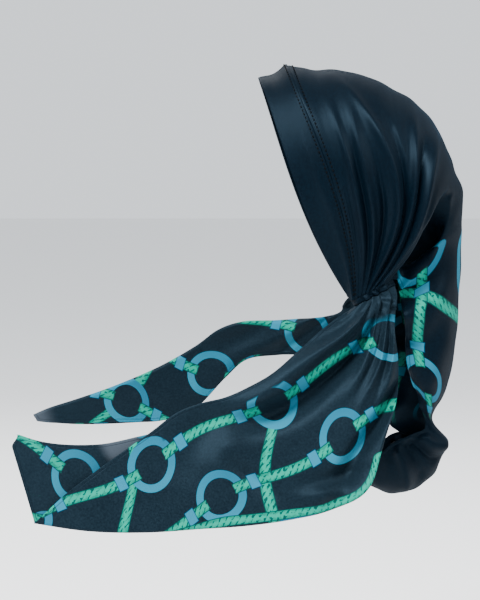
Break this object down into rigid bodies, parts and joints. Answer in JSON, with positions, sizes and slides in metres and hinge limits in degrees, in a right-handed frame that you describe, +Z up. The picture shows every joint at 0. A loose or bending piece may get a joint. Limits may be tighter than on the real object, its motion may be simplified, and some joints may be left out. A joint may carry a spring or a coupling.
{
  "type": "pre-tied bandana",
  "caption": "Pre-tied satin bandana as worn: a hemmed front band, a pleated crown gathered at the nape, a hanging back corner and a printed tail over each shoulder.",
  "frame": {"origin": "underside of the cloth at the top of the crown, where it rests on the head", "axes": "the wearer looks along -X, the wearer's left is -Y, +Z is up"},
  "size_m": [0.408, 0.2175, 0.4101],
  "materials": {
    "satin_plain": "soft satin sheen, midnight blue",
    "satin_printed": "soft satin sheen, midnight blue printed with green ropes and blue rings",
    "elastic": "matt knitted elastic, black"
  },
  "bodies": {
    "root": {"front_band": "satin_plain", "crown_and_flap": "satin_plain", "left_gather": "satin_plain", "right_gather": "satin_plain", "left_tail": "satin_printed", "right_tail": "satin_printed", "nape_elastic": "elastic"}
  },
  "joints": []
}
